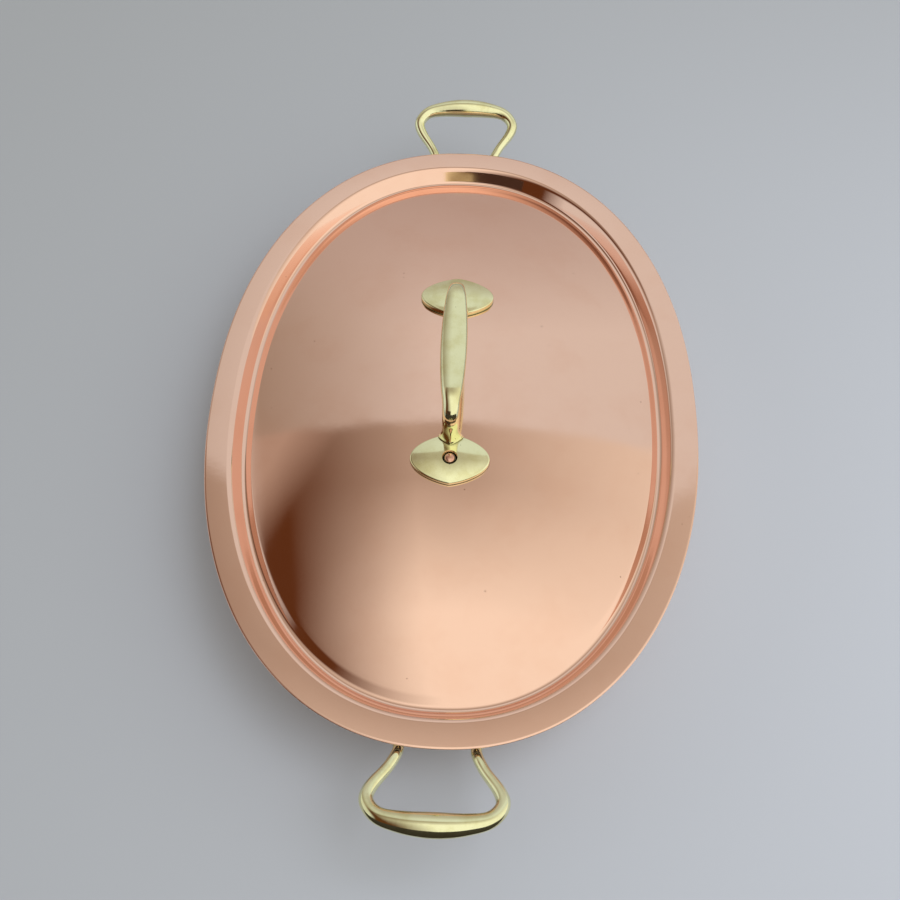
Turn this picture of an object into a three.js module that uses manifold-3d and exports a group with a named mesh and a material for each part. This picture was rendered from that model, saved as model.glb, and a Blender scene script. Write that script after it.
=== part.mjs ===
// A covered oval gratin pan: copper pan and lid, tin linings, cast brass handles, copper rivets.
// Millimetres, +Z up. The pan stands on z = 0 with its long axis along Y.

import * as THREE from 'three';
import { mergeVertices } from 'three/addons/utils/BufferGeometryUtils.js';
import Module from 'manifold-3d';

const wasm = await Module();
wasm.setup();

const { degToRad, lerp, smoothstep } = THREE.MathUtils;

// The lid's brim, edge to edge: a superellipse, where a power of 2 would be an ellipse
const brimWidth = 280;
const brimLength = 396;
const ovalPower = 2.18;

// Clearance between pieces that touch, and how much wider a rivet's hole is than its shank
const seatGap = 0.3;
const shankGap = 0.3;

// The pan. Insets are measured in from the brim's edge
const panHeight = 59;
const panWall = 2;
const rimInset = 10;
const panTaper = degToRad(6);
const panCornerRadius = 18;
const rimEdgeBreak = 0.7;
const tinLining = 0.4;
const tinEdgeBreak = tinLining / 4;
const panLiningDrop = 2.5;

// The lid, a pressed sheet: flat brim, wall down to a narrow valley, shoulder and dome
const lidSheet = 1.2;
const brimFlat = 14.6;
const brimShoulderRadius = 4;
const wallSlope = degToRad(60);
const valleyDepth = 9.5;
const valleyRadius = 2.4;
const domeShoulderRun = 4.6;
const domeShoulderRise = 2.9;
const domeShoulderRadius = 8;
const domeRise = 23.9;
const lidEdgeBreak = 0.4;
const lidLiningMargin = 3;

// The lid handle, a bridge along the long axis, measured from the tops of its foot plates
const handleShift = 6.2;
const handleRivetSpacing = 110.5;
const handleLegSpacing = 86;
const handleHeight = 31;
const gripWidth = 14.5;
const gripThickness = 8;
const gripEndWidth = 9;
const legWidth = 8.6;
const legDepth = 7.5;
const legRootWidth = 15;
const legRootDepth = 11;
const handleCornerRadius = 13;
const footWidth = 43;
const footLength = 29.2;
const footEdge = 2.8;
const footCrown = 4.4;

// Where the lid handle changes, as shares: the grip has tapered off, the leg starts, the root flares
const gripTaperEnd = 0.9;
const legStart = 0.7;
const legRootStart = 0.84;

// The bail handles, measured from the brim's edge and from its top plane
const bailReach = 38;
const bailSlope = degToRad(22.5);
const bailWidth = 70.7;
const bailNeckSpacing = 38.2;
const bailNeckDrop = 7;
const bailBarThickness = 11.5;
const bailCornerThickness = 7;
const bailLegThickness = 5.6;
const bailRootThickness = 9;

// A bail's bend in its own plane, as shares of the way from neck to corner and of the reach, and
// then from the corner back to the middle of the bar
const bailLegBend = [[0, 0], [0.28, 0.22], [0.9, 0.54], [1, 0.7]];
const bailBarBend = [[0.83, 0.89], [0.5, 0.97]];

// Its root in the pad, as shares of the pad's height and crown
const bailRootBend = [[0, 0.33], [0.2, 1.3]];

// Where its thickness changes, as shares of the way from the bar's middle to the root
const bailBarEnd = 0.42;
const bailLegStart = 0.4;
const bailLegEnd = 0.66;
const bailRootStart = 0.84;

// The bails' foot pads, one for each leg, lying on the pan's end wall
const padDrop = 21;
const padWidth = 29;
const padHeight = 17;
const padEdge = 2.2;
const padCrown = 4.2;
const padRivetSpacing = 18;

// Outlines of the plates: powers at their tips and at their sides, where 2 is an ellipse
const footPowers = [1.35, 2];
const padPowers = [2.2, 2.2];
const plateEdgeBreak = 0.5;

// Rivets. Seats are heights of the heads' seats above the sheet that the casting lies on
const handleShank = 4;
const handleHead = 5.6;
const handleHeadRise = 1.5;
const handleHeadSeat = 2.5;
const handleSeatFlare = degToRad(30);
const handleTail = 9;
const bailShank = 4;
const bailHead = 6.6;
const bailHeadRise = 1.4;
const bailHeadSeat = 2.6;
const bailSeatFlare = 0;
const bailTail = 9;
const tailRise = 1.6;
const rivetEdge = 0.4;

// How finely curved surfaces are faceted
const ovalSegments = 44;
const arcFacet = degToRad(32);
const domeSteps = 5;
const rivetSides = 8;
const rodSides = 10;
const plateSides = 16;
const bailSteps = 30;
const handleSteps = 30;

// Places that follow from the driving sizes
const brimTop = panHeight + seatGap + tinLining + seatGap + lidSheet;
const brimRadius = brimWidth / 2;
const rimRadius = brimRadius - rimInset;
const valleyFloorRadius = brimRadius - brimFlat - valleyDepth / Math.tan(wallSlope);
const domeRadius = valleyFloorRadius - domeShoulderRun;
const domeFoot = domeShoulderRise - valleyDepth;

// Point on the oval whose distance from the centre across the short axis is radius. Down to
// coreRadius the ovals are parallel to the brim's edge; inside it they shrink towards the centre.
function ovalPoint(angle, radius, coreRadius) {
  const a = brimWidth / 2;
  const b = brimLength / 2;
  const across = Math.sin(angle);
  const along = -Math.cos(angle);
  const edge = new THREE.Vector2(
    a * Math.sign(across) * Math.abs(across) ** (2 / ovalPower),
    b * Math.sign(along) * Math.abs(along) ** (2 / ovalPower),
  );
  const outward = new THREE.Vector2(
    (Math.sign(edge.x) * (Math.abs(edge.x) / a) ** (ovalPower - 1)) / a,
    (Math.sign(edge.y) * (Math.abs(edge.y) / b) ** (ovalPower - 1)) / b,
  ).normalize();
  const ring = Math.max(radius, coreRadius);
  const point = edge.addScaledVector(outward, ring - a);
  if (radius < coreRadius) point.multiplyScalar(radius / coreRadius);
  return { point, outward };
}

// Moves every vertex of a geometry by a function of its position.
function reshape(geometry, move) {
  const position = geometry.attributes.position;
  const vertex = new THREE.Vector3();
  for (let i = 0; i < position.count; i += 1) {
    vertex.fromBufferAttribute(position, i);
    move(vertex);
    position.setXYZ(i, vertex.x, vertex.y, vertex.z);
  }
  return geometry;
}

// Turns a profile of (radius, height) into a body whose every level is an oval.
function ovalLathe(profile, coreRadius) {
  const lathe = new THREE.LatheGeometry(profile, ovalSegments).rotateX(Math.PI / 2);
  return reshape(lathe, (v) => {
    const { point } = ovalPoint(Math.atan2(v.x, -v.y), Math.hypot(v.x, v.y), coreRadius);
    v.set(point.x, point.y, v.z);
  });
}

// A line through corners [x, y, radius], with an arc in each corner that has a radius. An arc is
// limited so that it takes less than half of either neighbouring stretch.
function roundedLine(corners) {
  const at = corners.map(([x, y]) => new THREE.Vector2(x, y));
  return corners.flatMap(([, , radius = 0], i) => {
    if (radius === 0 || i === 0 || i === corners.length - 1) return [at[i]];
    const back = at[i - 1].clone().sub(at[i]);
    const ahead = at[i + 1].clone().sub(at[i]);
    const room = 0.49 * Math.min(back.length(), ahead.length());
    back.normalize();
    ahead.normalize();
    const half = Math.acos(back.dot(ahead)) / 2;
    const reach = Math.min(radius / Math.tan(half), room);
    const start = at[i].clone().addScaledVector(back, reach);
    const end = at[i].clone().addScaledVector(ahead, reach);
    const centre = back.add(ahead).setLength(reach / Math.cos(half)).add(at[i]);
    const from = start.clone().sub(centre);
    const to = end.clone().sub(centre);
    const turn = Math.atan2(from.cross(to), from.dot(to));
    const steps = Math.ceil(Math.abs(turn) / arcFacet);
    return Array.from({ length: steps + 1 }, (_, k) => (
      start.clone().rotateAround(centre, (turn * k) / steps)
    ));
  });
}

// The line moved sideways, to its left for a positive distance, with mitred corners.
function offsetLine(line, distance) {
  const left = line.slice(1).map((p, i) => {
    const d = p.clone().sub(line[i]).normalize();
    return new THREE.Vector2(-d.y, d.x);
  });
  return line.map((p, i) => {
    if (i === 0) return new THREE.Vector2(p.x, p.y + distance);
    const before = left[i - 1];
    const after = left[Math.min(i, left.length - 1)];
    const mitre = before.clone().add(after).normalize();
    return p.clone().addScaledVector(mitre, distance / mitre.dot(before));
  });
}

// Closed section of a sheet between two lines that run out from the axis, with a broken edge.
function sheetSection(lower, upper, edgeBreak) {
  const shortened = (line) => {
    const end = line.at(-1).clone();
    const back = line.at(-2).clone().sub(end).setLength(edgeBreak);
    return end.add(back);
  };
  const across = upper.at(-1).clone().sub(lower.at(-1)).setLength(edgeBreak);
  return [
    ...lower.slice(0, -1),
    shortened(lower),
    lower.at(-1).clone().add(across),
    upper.at(-1).clone().sub(across),
    shortened(upper),
    ...upper.slice(0, -1).reverse(),
  ];
}

// Closed triangle mesh to solid, and back. Only positions matter, and slivers that merging the
// vertices leaves without area are dropped.
function toSolid(geometry) {
  const bare = new THREE.BufferGeometry();
  bare.setAttribute('position', geometry.attributes.position.clone());
  if (geometry.index) bare.setIndex(geometry.index.clone());
  const merged = mergeVertices(bare, 1e-4);
  const corners = merged.index.array;
  const kept = [];
  for (let i = 0; i < corners.length; i += 3) {
    const [a, b, c] = corners.slice(i, i + 3);
    if (a !== b && b !== c && c !== a) kept.push(a, b, c);
  }
  return new wasm.Manifold(new wasm.Mesh({
    numProp: 3,
    vertProperties: merged.attributes.position.array,
    triVerts: Uint32Array.from(kept),
  }));
}

function toGeometry(solid) {
  const mesh = solid.getMesh();
  const geometry = new THREE.BufferGeometry();
  geometry.setAttribute('position', new THREE.BufferAttribute(mesh.vertProperties, 3));
  geometry.setIndex(new THREE.BufferAttribute(mesh.triVerts, 1));
  geometry.computeVertexNormals();
  return geometry;
}

// The piece with every cutter taken out of it.
function cut(piece, cutters) {
  return cutters.reduce((solid, cutter) => solid.subtract(toSolid(cutter)), piece);
}

// A turned rod bent along a curve. section(u) gives the half-sizes along side and across it at
// the share u of the curve's length.
function bentRod(curve, steps, side, section) {
  const stations = Array.from({ length: steps + 1 }, (_, i) => {
    const centre = curve.getPointAt(i / steps);
    const along = curve.getTangentAt(i / steps);
    const wide = side(along).normalize();
    const high = along.clone().cross(wide);
    return { centre, wide, high, half: section(i / steps) };
  });
  const profile = [
    new THREE.Vector2(0, 0),
    ...stations.map((_, i) => new THREE.Vector2(1, i)),
    new THREE.Vector2(0, steps),
  ];
  return reshape(new THREE.LatheGeometry(profile, rodSides), (v) => {
    const { centre, wide, high, half } = stations[Math.round(v.y)];
    const { x, z } = v;
    v.copy(centre).addScaledVector(wide, -x * half[0]).addScaledVector(high, z * half[1]);
  });
}

// A plate with a crowned top, whose top centre is at height crown. Its outline is pointed at the
// tips of its length and round at its sides where the first of its two powers is the smaller.
function crownedPlate({ width, length, powers, edge, crown, depth }) {
  const shoulder = 1 - (2 * plateEdgeBreak) / length;
  const slope = 0.65;
  const profile = [
    new THREE.Vector2(0, -depth),
    new THREE.Vector2(1, -depth),
    new THREE.Vector2(1, edge - plateEdgeBreak),
    new THREE.Vector2(shoulder, edge),
    new THREE.Vector2(slope, lerp(edge, crown, slope)),
    new THREE.Vector2(0, crown),
  ];
  const lathe = new THREE.LatheGeometry(profile, plateSides).rotateX(Math.PI / 2);
  return reshape(lathe, (v) => {
    const r = Math.hypot(v.x, v.y);
    if (r === 0) return;
    const [x, y] = [v.x, v.y].map((part, i) => Math.sign(part) * Math.abs(part / r) ** (2 / powers[i]));
    v.x = (width / 2) * r * x;
    v.y = (length / 2) * r * y;
  });
}

// A rivet along +Z with its head's seat at z = 0 and its tail spread out below the grip.
function rivet({ shank, head, headRise, tail, grip }) {
  // The rounded ends' shoulders, as shares of the radius and of the rise
  const [across, up] = [0.63, 0.83];
  const profile = [
    new THREE.Vector2(0, -grip - tailRise),
    new THREE.Vector2((tail / 2) * across, -grip - tailRise * up),
    new THREE.Vector2(tail / 2, -grip - rivetEdge),
    new THREE.Vector2(tail / 2, -grip),
    new THREE.Vector2(shank / 2, -grip),
    new THREE.Vector2(shank / 2, 0),
    new THREE.Vector2(head / 2, 0),
    new THREE.Vector2(head / 2, rivetEdge),
    new THREE.Vector2((head / 2) * across, headRise * up),
    new THREE.Vector2(0, headRise),
  ];
  return new THREE.LatheGeometry(profile, rivetSides).rotateX(Math.PI / 2);
}

// The hole for a rivet's shank.
function shankHole(shank, reach) {
  const radius = shank / 2 + shankGap;
  return new THREE.CylinderGeometry(radius, radius, 2 * reach, rivetSides).rotateX(Math.PI / 2);
}

// The sunk seat round a rivet's head, as deep as the head is wide. It opens upwards by its flare.
function headSeat(head, floor, flare) {
  const radius = head / 2 + shankGap;
  const seat = new THREE.CylinderGeometry(radius + head * Math.tan(flare), radius, head, rivetSides);
  return seat.rotateX(Math.PI / 2).translate(0, 0, floor + head / 2);
}

// The pan's outer face from the axis to a height, and the ring where its flat base ends.
function panFace(top) {
  const footRadius = rimRadius - panHeight * Math.tan(panTaper);
  return roundedLine([
    [0, 0],
    [footRadius, 0, panCornerRadius],
    [footRadius + top * Math.tan(panTaper), top],
  ]);
}

const panFlatRadius = panFace(panHeight)[1].x;

function makePanBody() {
  const face = panFace(panHeight);
  return ovalLathe(sheetSection(face, offsetLine(face, panWall), rimEdgeBreak), panFlatRadius);
}

function makePanLining() {
  const face = panFace(panHeight - panLiningDrop);
  const outer = offsetLine(face, panWall + seatGap);
  const inner = offsetLine(face, panWall + seatGap + tinLining);
  return ovalLathe(sheetSection(outer, inner, tinEdgeBreak), panFlatRadius);
}

// The pan as one block grown by the seat clearance, to cut the pads' backs.
function makePanBlock() {
  const grown = offsetLine(panFace(panHeight), -seatGap);
  return ovalLathe([...grown, new THREE.Vector2(0, grown.at(-1).y)], panFlatRadius);
}

// The lid's top face, from the top of the dome out to the brim's edge less a margin.
function lidFace(margin) {
  const dome = Array.from({ length: domeSteps }, (_, i) => {
    const share = i / domeSteps;
    return [domeRadius * share, brimTop + domeFoot + domeRise * (1 - share ** 2)];
  });
  return roundedLine([
    ...dome,
    [domeRadius, brimTop + domeFoot, domeShoulderRadius],
    [valleyFloorRadius, brimTop - valleyDepth, valleyRadius],
    [brimRadius - brimFlat, brimTop, brimShoulderRadius],
    [brimRadius - margin, brimTop],
  ]);
}

function makeLidShell() {
  const face = lidFace(0);
  return ovalLathe(sheetSection(offsetLine(face, -lidSheet), face, lidEdgeBreak), valleyFloorRadius);
}

function makeLidLining() {
  const face = lidFace(lidLiningMargin);
  const upper = offsetLine(face, -lidSheet - seatGap);
  const lower = offsetLine(face, -lidSheet - seatGap - tinLining);
  return ovalLathe(sheetSection(lower, upper, tinEdgeBreak), valleyFloorRadius);
}

// The lid as one block grown by the seat clearance, to cut the foot plates' undersides.
function makeLidBlock() {
  const grown = offsetLine(lidFace(0), seatGap);
  const floor = brimTop - valleyDepth - footCrown;
  const block = [new THREE.Vector2(0, floor), new THREE.Vector2(brimRadius, floor)];
  return ovalLathe([...block, ...grown.reverse()], valleyFloorRadius);
}

// How far below the true dome its facets lie, at the middle of each
const domeFacetSag = domeRise / (2 * domeSteps) ** 2;

// Height of the dome's top face on the long axis, and its tilt about X there.
function domeAt(y) {
  const core = ovalPoint(0, valleyFloorRadius, valleyFloorRadius).point.length();
  const share = (Math.abs(y) * valleyFloorRadius) / (core * domeRadius);
  const fall = (-2 * domeRise * share * valleyFloorRadius) / (core * domeRadius);
  return { z: brimTop + domeFoot + domeRise * (1 - share ** 2), tilt: Math.atan(fall * Math.sign(y)) };
}

// The two feet of the lid handle: each stands square on the dome at its rivet.
const handleFeet = [-1, 1].map((end) => {
  const y = handleShift + (end * handleRivetSpacing) / 2;
  const { z, tilt } = domeAt(y);
  const frame = new THREE.Matrix4().makeRotationX(tilt).setPosition(0, y, z);
  return { end, frame };
});

// Centre line of the lid handle: up one leg, round, along the grip and down the other leg.
function handleCurve() {
  const leg = handleLegSpacing / 2;
  const top = Math.max(...handleFeet.map(({ end }) => domeAt(handleShift + end * leg).z))
    + footEdge + handleHeight - gripThickness / 2;
  const bend = handleCornerRadius;
  const curve = new THREE.CurvePath();
  const at = (y, z) => new THREE.Vector3(0, handleShift + y, z);
  const root = (end) => domeAt(handleShift + end * leg).z + footEdge / 2;
  curve.add(new THREE.LineCurve3(at(-leg, root(-1)), at(-leg, top - bend)));
  curve.add(new THREE.QuadraticBezierCurve3(at(-leg, top - bend), at(-leg, top), at(bend - leg, top)));
  curve.add(new THREE.LineCurve3(at(bend - leg, top), at(leg - bend, top)));
  curve.add(new THREE.QuadraticBezierCurve3(at(leg - bend, top), at(leg, top), at(leg, top - bend)));
  curve.add(new THREE.LineCurve3(at(leg, top - bend), at(leg, root(1))));
  return curve;
}

function makeLidHandle() {
  const curve = handleCurve();
  const gripShare = handleLegSpacing / curve.getLength();
  // Half-sizes by distance from the middle: barrel grip, narrower leg, flared root
  const section = (u) => {
    const away = Math.abs(u - 0.5) * 2;
    const grip = smoothstep(away, 0, gripShare * gripTaperEnd);
    const leg = smoothstep(away, gripShare * legStart, gripShare);
    const root = smoothstep(away, legRootStart, 1) ** 2;
    const width = lerp(lerp(lerp(gripWidth, gripEndWidth, grip), legWidth, leg), legRootWidth, root);
    const depth = lerp(lerp(gripThickness, legDepth, leg), legRootDepth, root);
    return [width / 2, depth / 2];
  };
  const across = () => new THREE.Vector3(1, 0, 0);
  let casting = toSolid(bentRod(curve, handleSteps, across, section));
  const plate = {
    width: footWidth,
    length: footLength,
    powers: footPowers,
    edge: footEdge,
    crown: footCrown,
    depth: footCrown,
  };
  handleFeet.forEach(({ frame }) => {
    casting = casting.add(toSolid(crownedPlate(plate).applyMatrix4(frame)));
  });
  const holes = handleFeet.flatMap(({ frame }) => [
    shankHole(handleShank, 2 * footCrown).applyMatrix4(frame),
    headSeat(handleHead, handleHeadSeat, handleSeatFlare).applyMatrix4(frame),
  ]);
  return toGeometry(cut(casting, [makeLidBlock(), ...holes]));
}

// A place on the pan's outer face at the +Y end, at the pads' height and a distance across from
// the long axis, with Z square out of the wall and X level along it. side is 1 or -1.
function wallFrame(across, side) {
  const height = brimTop - padDrop;
  const radius = rimRadius - (panHeight - height) * Math.tan(panTaper);
  let near = 0;
  let far = Math.PI / 2;
  for (let i = 0; i < 40; i += 1) {
    const middle = (near + far) / 2;
    if (ovalPoint(Math.PI - middle, radius, panFlatRadius).point.x < across) near = middle;
    else far = middle;
  }
  const { point, outward } = ovalPoint(Math.PI - side * near, radius, panFlatRadius);
  const out = new THREE.Vector3(outward.x, outward.y, 0)
    .multiplyScalar(Math.cos(panTaper))
    .setZ(-Math.sin(panTaper));
  const along = new THREE.Vector3(-outward.y, outward.x, 0);
  const up = out.clone().cross(along);
  return new THREE.Matrix4().makeBasis(along, up, out).setPosition(point.x, point.y, height);
}

const padFrames = [1, -1].map((side) => wallFrame(bailNeckSpacing / 2, side));

// Centre line of a bail at the +Y end: pad, neck under the brim's edge, splayed leg, corner, bar.
function bailCurve() {
  const neck = bailNeckSpacing / 2;
  const corner = (bailWidth - bailCornerThickness) / 2;
  const edge = brimLength / 2;
  // Loop in its own sloping plane: x across, s out from the brim's edge
  const onLoop = (x, s) => new THREE.Vector3(
    x,
    edge + s * Math.cos(bailSlope),
    brimTop - bailNeckDrop + s * Math.sin(bailSlope),
  );
  const inPad = (up, out) => new THREE.Vector3(0, padHeight * up, padCrown * out);
  const half = [
    ...bailRootBend.map(([up, out]) => inPad(up, out).applyMatrix4(padFrames[0])),
    ...bailLegBend.map(([across, out]) => onLoop(lerp(neck, corner, across), bailReach * out)),
    ...bailBarBend.map(([across, out]) => onLoop(corner * across, bailReach * out)),
  ];
  const mirrored = half.map((p) => new THREE.Vector3(-p.x, p.y, p.z)).reverse();
  return new THREE.CatmullRomCurve3([...half, onLoop(0, bailReach), ...mirrored]);
}

// The four rivets of one bail: two for each pad, each square to the wall where it goes through.
const bailRivetFrames = [1, -1].flatMap((side) => [-1, 1].map((step) => (
  wallFrame((bailNeckSpacing + step * padRivetSpacing) / 2, side)
)));

// How far inside the true oval a facet of the end wall lies, which the tails keep clear of.
function endFacetSag() {
  const facet = (2 * Math.PI) / ovalSegments;
  const [tip, middle, next] = [0, 0.5, 1].map((share) => (
    ovalPoint(Math.PI - share * facet, rimRadius, panFlatRadius).point
  ));
  const chord = next.sub(tip);
  return Math.abs(middle.sub(tip).cross(chord)) / chord.length();
}

function makeBail() {
  // Thickness by distance from the bar's middle: swelled bar, corner, slim leg, root
  const section = (u) => {
    const away = Math.abs(u - 0.5) * 2;
    const bar = smoothstep(away, 0, bailBarEnd);
    const leg = smoothstep(away, bailLegStart, bailLegEnd);
    const root = smoothstep(away, bailRootStart, 1);
    const thickness = lerp(
      lerp(lerp(bailBarThickness, bailCornerThickness, bar), bailLegThickness, leg),
      bailRootThickness,
      root,
    );
    return [thickness / 2, thickness / 2];
  };
  // Level across the leg where it dives steeply under the brim
  const level = (along) => new THREE.Vector3(0, 0.2, 1).cross(along);
  let casting = toSolid(bentRod(bailCurve(), bailSteps, level, section));
  const plate = {
    width: padWidth,
    length: padHeight,
    powers: padPowers,
    edge: padEdge,
    crown: padCrown,
    depth: 2 * padCrown,
  };
  padFrames.forEach((frame) => {
    casting = casting.add(toSolid(crownedPlate(plate).applyMatrix4(frame)));
  });
  const holes = bailRivetFrames.flatMap((frame) => [
    shankHole(bailShank, 3 * padCrown).applyMatrix4(frame),
    headSeat(bailHead, bailHeadSeat, bailSeatFlare).applyMatrix4(frame),
  ]);
  return toGeometry(cut(casting, [makePanBlock(), ...holes]));
}

// Materials, one for each mesh
const copper = () => new THREE.MeshStandardMaterial({ color: 0xd9a48c, metalness: 1, roughness: 0.12 });
const tin = () => new THREE.MeshStandardMaterial({ color: 0xc9cbc8, metalness: 1, roughness: 0.35 });
const brass = () => new THREE.MeshStandardMaterial({ color: 0xd2cf94, metalness: 1, roughness: 0.14 });

const gratinPan = new THREE.Group();

function addMesh(parent, name, geometry, material) {
  const mesh = new THREE.Mesh(geometry, material);
  mesh.name = name;
  parent.add(mesh);
}

// Both ends of the pan: the rear one at +Y, and the front one the same turned half round
const ends = [['rear', 0], ['front', Math.PI]].map(([name, turn]) => {
  const group = new THREE.Group();
  group.rotation.z = turn;
  gratinPan.add(group);
  return { name, group };
});

const endTurns = ends.map(({ group }) => new THREE.Matrix4().makeRotationZ(group.rotation.z));
const wallHoles = endTurns.flatMap((turn) => bailRivetFrames.map((frame) => (
  shankHole(bailShank, panWall + padCrown + tinLining).applyMatrix4(turn.clone().multiply(frame))
)));
addMesh(gratinPan, 'pan_body', toGeometry(cut(toSolid(makePanBody()), wallHoles)), copper());
addMesh(gratinPan, 'pan_lining', toGeometry(cut(toSolid(makePanLining()), wallHoles)), tin());

const bail = makeBail();
ends.forEach(({ name, group }) => {
  addMesh(group, `${name}_bail`, bail, brass());
  bailRivetFrames.forEach((frame, i) => {
    const seat = bailHeadSeat + seatGap;
    const body = rivet({
      shank: bailShank,
      head: bailHead,
      headRise: bailHeadRise,
      tail: bailTail,
      grip: seat + panWall + seatGap + tinLining + seatGap + endFacetSag(),
    });
    body.translate(0, 0, seat).applyMatrix4(frame);
    addMesh(group, `${name}_bail_rivet_${i + 1}`, body, copper());
  });
});

const lid = new THREE.Group();
gratinPan.add(lid);
const lidHoles = handleFeet.map(({ frame }) => (
  shankHole(handleShank, lidSheet + tinLining + footCrown).applyMatrix4(frame)
));
addMesh(lid, 'lid_shell', toGeometry(cut(toSolid(makeLidShell()), lidHoles)), copper());
addMesh(lid, 'lid_lining', toGeometry(cut(toSolid(makeLidLining()), lidHoles)), tin());
addMesh(lid, 'lid_handle', makeLidHandle(), brass());
handleFeet.forEach(({ end, frame }) => {
  const seat = handleHeadSeat + seatGap;
  const body = rivet({
    shank: handleShank,
    head: handleHead,
    headRise: handleHeadRise,
    tail: handleTail,
    grip: seat + lidSheet + seatGap + tinLining + seatGap + domeFacetSag,
  });
  body.translate(0, 0, seat).applyMatrix4(frame);
  addMesh(lid, `lid_rivet_${end < 0 ? 'front' : 'rear'}`, body, copper());
});

export default gratinPan;
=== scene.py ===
"""Finished looks of a covered oval gratin pan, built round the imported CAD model.

The solids give every place and size. Here the sheets, castings and rivets are made fine enough to
mirror as polished metal does, and each gets the finish of its real material. Lengths are metres.
"""

import logging
import math
from dataclasses import dataclass
from enum import Enum
from typing import Callable, Sequence

import bpy
import numpy as np
from mathutils import Matrix, Vector, noise

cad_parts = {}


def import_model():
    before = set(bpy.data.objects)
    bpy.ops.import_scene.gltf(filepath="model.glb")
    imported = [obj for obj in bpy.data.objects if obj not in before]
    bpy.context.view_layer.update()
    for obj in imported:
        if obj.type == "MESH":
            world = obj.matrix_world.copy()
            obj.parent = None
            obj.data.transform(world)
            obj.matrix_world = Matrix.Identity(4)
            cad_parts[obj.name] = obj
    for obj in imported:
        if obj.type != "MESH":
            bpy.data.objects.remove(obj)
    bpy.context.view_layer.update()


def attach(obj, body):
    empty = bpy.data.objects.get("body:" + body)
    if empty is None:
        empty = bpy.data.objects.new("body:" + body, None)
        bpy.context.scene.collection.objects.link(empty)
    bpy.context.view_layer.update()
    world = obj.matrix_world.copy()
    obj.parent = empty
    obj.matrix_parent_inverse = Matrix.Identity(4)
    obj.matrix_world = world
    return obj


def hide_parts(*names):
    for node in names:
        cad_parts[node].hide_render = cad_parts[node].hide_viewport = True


log = logging.getLogger("gratin_pan")

MM = 0.001
# Play between a rivet and the casting round it
SHANK_GAP = 0.3 * MM

# Share of a stretch that the arc at one end may take, and the facet of a cut edge
ARC_ROOM = 0.49
EDGE_FACET = math.radians(15)
# How far each axis of the waves shifts with their seed
SEED_SHIFT = (1.0, 1.7, 0.6)
# Noise levels between which metal goes from bright to clouded, and from smooth to dull
CLOUD_RANGE = (0.42, 0.72)
DULL_RANGE = (0.35, 0.7)
# Width of a speck's cell in specks, and how far from the cell's middle the speck fades out
SPECK_CELL = 6
SPECK_FADE = (0.05, 0.1)
# Openness at which a seam is full of residue and painted shade, and at which it is clean
RESIDUE_AND_SHADE_RANGE = (0.3, 0.78)
# The way the last strokes ran, in radians about each axis
STROKE_TURN = (0.3, 0.2, 0.5)


class Body(Enum):
    """The CAD bodies that pieces ride on."""

    PAN = "pan"
    LID = "lid"


class Slot(Enum):
    """The record's material slots."""

    COPPER = "copper"
    COPPER_RIVET = "copper_rivet"
    BRASS = "brass"
    TIN = "tin"


def rounded_line(corners: Sequence[Sequence[float]], facet: float = math.radians(4)) -> np.ndarray:
    """Line through corners, with an arc in each corner that has a radius.

    Args:
        corners: points as (x, y) or (x, y, radius).
        facet: turn between neighbouring points of an arc, in radians.

    Returns:
        The line's points, one row each.
    """
    at = [np.array(corner[:2], float) for corner in corners]
    line = []
    for i, corner in enumerate(corners):
        radius = corner[2] if len(corner) > 2 else 0.0
        if radius == 0 or i in (0, len(corners) - 1):
            line.append(at[i])
            continue
        back, ahead = at[i - 1] - at[i], at[i + 1] - at[i]
        room = ARC_ROOM * min(np.linalg.norm(back), np.linalg.norm(ahead))
        back, ahead = back / np.linalg.norm(back), ahead / np.linalg.norm(ahead)
        half = math.acos(float(back @ ahead)) / 2
        reach = min(radius / math.tan(half), room)
        middle = (back + ahead) / np.linalg.norm(back + ahead)
        centre = at[i] + middle * reach / math.cos(half)
        start, end = at[i] + back * reach - centre, at[i] + ahead * reach - centre
        turn = math.atan2(start[0] * end[1] - start[1] * end[0], float(start @ end))
        for share in np.linspace(0, 1, math.ceil(abs(turn) / facet) + 1):
            c, s = math.cos(turn * share), math.sin(turn * share)
            line.append(centre + np.array([c * start[0] - s * start[1], s * start[0] + c * start[1]]))
    return np.array(line)


def offset_line(line: np.ndarray, distance: float) -> np.ndarray:
    """The line moved sideways, with mitred corners.

    Args:
        line: its points, one row each.
        distance: how far, to its left for a positive one.

    Returns:
        The new points.
    """
    step = np.diff(line, axis=0)
    step /= np.linalg.norm(step, axis=1)[:, None]
    left = np.stack([-step[:, 1], step[:, 0]], axis=1)
    before, after = left[:-1], left[1:]
    mitre = before + after
    mitre /= np.linalg.norm(mitre, axis=1)[:, None]
    inner = line[1:-1] + mitre * (distance / np.sum(mitre * before, axis=1))[:, None]
    first = line[0] + np.array([0.0, distance])
    last = line[-1] + left[-1] * distance
    return np.vstack([first, inner, last])


def sheet_section(lower: np.ndarray, upper: np.ndarray, rounding: float) -> np.ndarray:
    """Closed section of a sheet between two lines that run out from the axis.

    Args:
        lower: the sheet's lower or outer face.
        upper: its upper or inner face.
        rounding: radius that the cut edge is rounded to.

    Returns:
        Points from the axis along the lower face, round the edge and back to the axis.
    """
    corners = [lower[-2], (*lower[-1], rounding), (*upper[-1], rounding), upper[-2]]
    edge = rounded_line(corners, EDGE_FACET)[1:-1]
    return np.vstack([lower[:-1], edge, upper[:-1][::-1]])


def smoothstep(x: np.ndarray | float, low: float, high: float) -> np.ndarray | float:
    """Smooth share from 0 at low to 1 at high."""
    share = np.clip((np.asarray(x, float) - low) / (high - low), 0, 1)
    return share * share * (3 - 2 * share)


def lerp(a: np.ndarray | float, b: np.ndarray | float, share: np.ndarray | float) -> np.ndarray | float:
    """Value at a share of the way from a to b."""
    return a + (b - a) * share


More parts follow.
